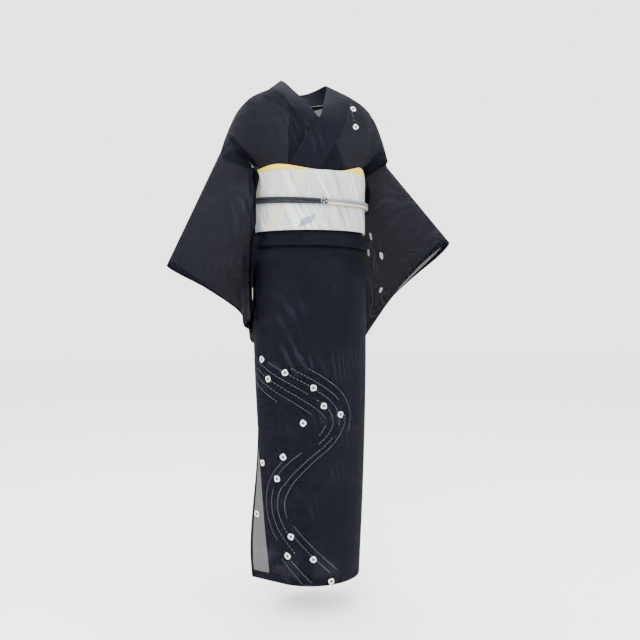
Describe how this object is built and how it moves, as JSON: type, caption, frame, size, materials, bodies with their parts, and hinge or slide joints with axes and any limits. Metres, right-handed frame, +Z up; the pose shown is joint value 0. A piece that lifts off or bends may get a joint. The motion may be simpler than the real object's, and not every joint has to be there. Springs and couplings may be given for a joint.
{
  "type": "kimono with obi",
  "caption": "Sheer dark summer kimono worn wrapped left over right, with wide sleeves, a tucked waist, a broad pale obi, a yellow sash and a round cord.",
  "frame": {"origin": "on the wearer's axis at shoulder height, where the wearer holds the garment up", "axes": "+Z up, the garment's front faces -Y, the wearer's left is +X"},
  "size_m": [0.6848, 0.4033, 1.3099],
  "materials": {
    "kimono_cloth": "sheer woven silk gauze, near-black navy",
    "obi_cloth": "pale silver woven gauze with fine ribs",
    "obiage_cloth": "soft yellow silk",
    "cord_dark": "round braided cord, dark blue grey",
    "cord_pale": "round braided cord, cream"
  },
  "bodies": {
    "root": {"body_left": "kimono_cloth", "body_right": "kimono_cloth", "okumi_left": "kimono_cloth", "okumi_right": "kimono_cloth", "sleeve_left": "kimono_cloth", "sleeve_right": "kimono_cloth", "collar": "kimono_cloth", "obi_band": "obi_cloth", "obi_drum": "obi_cloth", "obi_tail": "obi_cloth", "obiage": "obiage_cloth", "obijime_dark_upper": "cord_dark", "obijime_dark_lower": "cord_dark", "obijime_pale_upper": "cord_pale", "obijime_pale_lower": "cord_pale", "obijime_knot": "cord_dark"}
  },
  "joints": []
}
